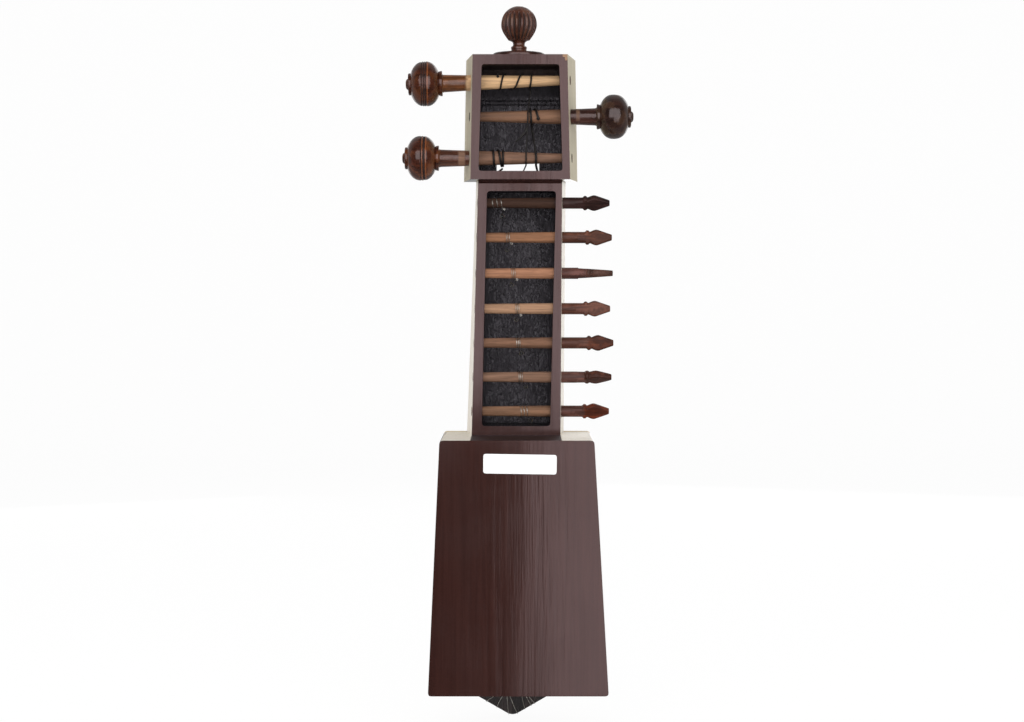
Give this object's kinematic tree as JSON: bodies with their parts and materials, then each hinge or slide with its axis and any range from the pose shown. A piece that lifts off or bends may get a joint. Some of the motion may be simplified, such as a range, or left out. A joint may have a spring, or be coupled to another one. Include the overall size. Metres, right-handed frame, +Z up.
{
  "type": "sarangi",
  "caption": "Bowed string instrument: carved box belly with a parchment front, open neck and peg box, knobbed main pegs and a row of spear-headed sympathetic pegs, all of which turn.",
  "frame": {"origin": "middle of the belly's flat foot, halfway through its depth", "axes": "+Z up along the neck to the finial, -Y out of the closed back that the picture shows, +Y out of the playing side, +X to the right of a viewer behind the instrument"},
  "size_m": [0.2039, 0.1437, 0.6368],
  "materials": {
    "lacquered_wood": "dark red-brown gloss lacquer on the back, black inside, ivory-coloured on the sides",
    "turned_wood": "turned wood, stained and polished, bare on the shafts inside the box",
    "dark_wood": "nearly black polished wood",
    "parchment": "dried goatskin, slightly translucent, matt",
    "strap_leather": "thick brown leather",
    "bone": "polished bone",
    "gut": "dark dyed gut, slightly shiny",
    "steel_wire": "plain drawn steel wire",
    "brass": "dull brass"
  },
  "bodies": {
    "instrument": {"carved_body": "lacquered_wood", "parchment": "parchment", "leather_strap": "strap_leather", "bridge": "bone", "nut": "bone", "tail_plate": "dark_wood", "finial_disc": "turned_wood", "finial": "turned_wood", "tail_nail_1": "brass", "tail_nail_2": "brass", "tail_nail_3": "brass", "wire_pin_1": "brass", "wire_pin_2": "brass", "gut_string_first": "gut", "gut_string_second": "gut", "gut_string_third": "gut", "sympathetic_wire_1": "steel_wire", "eyelet_1": "bone", "sympathetic_wire_2": "steel_wire", "eyelet_2": "bone", "sympathetic_wire_3": "steel_wire", "eyelet_3": "bone", "sympathetic_wire_4": "steel_wire", "eyelet_4": "bone", "sympathetic_wire_5": "steel_wire", "eyelet_5": "bone", "sympathetic_wire_6": "steel_wire", "eyelet_6": "bone", "sympathetic_wire_7": "steel_wire", "eyelet_7": "bone"},
    "upper_left_peg": {"peg_upper_left": "turned_wood", "winding_first": "gut"},
    "right_peg": {"peg_right": "turned_wood", "winding_second": "gut"},
    "lower_left_peg": {"peg_lower_left": "turned_wood", "winding_third": "gut"},
    "sympathetic_1": {"sympathetic_peg_1": "turned_wood", "wire_winding_1": "steel_wire"},
    "sympathetic_2": {"sympathetic_peg_2": "turned_wood", "wire_winding_2": "steel_wire"},
    "sympathetic_3": {"sympathetic_peg_3": "turned_wood", "wire_winding_3": "steel_wire"},
    "sympathetic_4": {"sympathetic_peg_4": "turned_wood", "wire_winding_4": "steel_wire"},
    "sympathetic_5": {"sympathetic_peg_5": "turned_wood", "wire_winding_5": "steel_wire"},
    "sympathetic_6": {"sympathetic_peg_6": "turned_wood", "wire_winding_6": "steel_wire"},
    "sympathetic_7": {"sympathetic_peg_7": "turned_wood", "wire_winding_7": "steel_wire"}
  },
  "joints": [
    {"name": "upper_left_peg_turn", "type": "hinge", "parent": "instrument", "child": "upper_left_peg", "pos_m": [0, 0.0165, 0.5295], "axis": [0.9997, 0, 0.0252], "continuous": true},
    {"name": "right_peg_turn", "type": "hinge", "parent": "instrument", "child": "right_peg", "pos_m": [0, 0.018, 0.4987], "axis": [1, 0, 0], "continuous": true},
    {"name": "lower_left_peg_turn", "type": "hinge", "parent": "instrument", "child": "lower_left_peg", "pos_m": [0, 0.018, 0.4622], "axis": [1, 0, 0], "continuous": true},
    {"name": "sympathetic_1_turn", "type": "hinge", "parent": "instrument", "child": "sympathetic_1", "pos_m": [0, 0.014, 0.4226], "axis": [1, 0, 0], "continuous": true},
    {"name": "sympathetic_2_turn", "type": "hinge", "parent": "instrument", "child": "sympathetic_2", "pos_m": [0, 0.014, 0.3923], "axis": [1, 0, 0], "continuous": true},
    {"name": "sympathetic_3_turn", "type": "hinge", "parent": "instrument", "child": "sympathetic_3", "pos_m": [0, 0.014, 0.3608], "axis": [1, 0, 0], "continuous": true},
    {"name": "sympathetic_4_turn", "type": "hinge", "parent": "instrument", "child": "sympathetic_4", "pos_m": [0, 0.014, 0.3296], "axis": [1, 0, 0], "continuous": true},
    {"name": "sympathetic_5_turn", "type": "hinge", "parent": "instrument", "child": "sympathetic_5", "pos_m": [0, 0.014, 0.2994], "axis": [1, 0, 0], "continuous": true},
    {"name": "sympathetic_6_turn", "type": "hinge", "parent": "instrument", "child": "sympathetic_6", "pos_m": [0, 0.014, 0.2692], "axis": [1, 0, 0], "continuous": true},
    {"name": "sympathetic_7_turn", "type": "hinge", "parent": "instrument", "child": "sympathetic_7", "pos_m": [0, 0.014, 0.2391], "axis": [1, 0, 0], "continuous": true}
  ]
}
